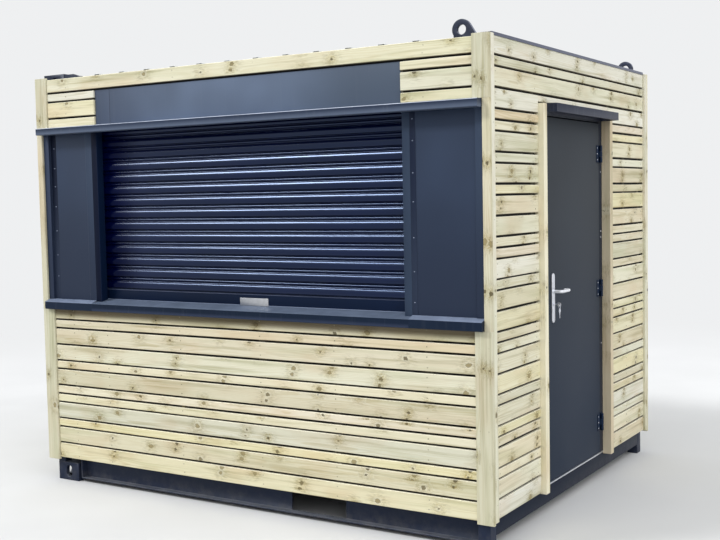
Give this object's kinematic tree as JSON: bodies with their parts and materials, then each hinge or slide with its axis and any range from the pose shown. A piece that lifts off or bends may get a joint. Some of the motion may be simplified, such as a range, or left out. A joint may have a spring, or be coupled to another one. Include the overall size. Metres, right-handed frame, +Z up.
{
  "type": "serving kiosk",
  "caption": "Steel-framed serving kiosk clad in horizontal timber boards, with a shuttered serving hatch under a canopy in front, a side door, a ribbed roof, corner castings and lifting eyes.",
  "frame": {"origin": "bottom centre of the bounding box, on the ground plane under the castings and feet", "axes": "+Z up, -Y towards the serving hatch's front, +X towards the side with the door"},
  "size_m": [3.266, 2.573, 2.6869],
  "materials": {
    "frame_steel": "satin blue-black paint",
    "wall_panel": "pale faced sheet over an insulated board core",
    "timber": "planed pressure-treated softwood",
    "black_steel": "satin blue-black powder coat",
    "floor_board": "plywood",
    "ceiling_board": "white faced board",
    "roof_metal": "pale coated profiled sheet",
    "lug_steel": "black paint on thick plate",
    "plate_metal": "bare blank plate",
    "hinge_steel": "black",
    "door_paint": "matt dark grey paint",
    "satin_steel": "satin"
  },
  "bodies": {
    "kiosk": {"base_castings": "frame_steel", "top_castings": "frame_steel", "base_rails_long": "frame_steel", "base_rails_short": "frame_steel", "cross_members": "frame_steel", "floor_deck": "floor_board", "corner_posts": "frame_steel", "top_rails_long": "frame_steel", "top_rails_short": "frame_steel", "wall_front_lower": "wall_panel", "wall_front_piers": "wall_panel", "wall_front_upper": "wall_panel", "wall_back": "wall_panel", "wall_left": "wall_panel", "wall_right_near": "wall_panel", "wall_right_far": "wall_panel", "wall_right_head": "wall_panel", "ceiling_panel": "ceiling_board", "roof_sheet": "roof_metal", "roof_flashings": "black_steel", "lifting_lugs": "lug_steel", "cladding_front_lower": "timber", "cladding_front_upper": "timber", "cladding_left": "timber", "cladding_back": "timber", "cladding_right_near": "timber", "cladding_right_far": "timber", "cladding_right_top": "timber", "corner_trims": "timber", "door_battens": "timber", "door_jambs": "frame_steel", "door_head": "frame_steel", "door_sill": "frame_steel", "door_cap": "black_steel", "canopy": "black_steel", "counter_ends": "black_steel", "counter_centre": "black_steel", "side_panels": "black_steel", "fascia_panel": "black_steel", "shutter_guides": "black_steel", "shutter_curtain": "black_steel", "shutter_bottom_rail": "black_steel", "name_plate": "plate_metal", "shutter_roll": "black_steel", "roll_brackets": "black_steel", "hinge_fixed": "hinge_steel"},
    "door": {"door_leaf": "door_paint", "hinge_moving": "hinge_steel", "handle_plates": "satin_steel", "lock_and_key": "satin_steel"},
    "handle": {"lever": "satin_steel"}
  },
  "joints": [
    {"name": "door_hinge", "type": "hinge", "parent": "kiosk", "child": "door", "pos_m": [1.54, 0.409, 1.211], "axis": [0, 0, 1], "range_deg": [0, 95]},
    {"name": "lever_turn", "type": "hinge", "parent": "door", "child": "handle", "pos_m": [1.527, -0.3685, 1.254], "axis": [-1, 0, 0], "range_deg": [0, 45], "stiffness_Nm_per_rad": 2.5, "springref_deg": -17.19}
  ]
}
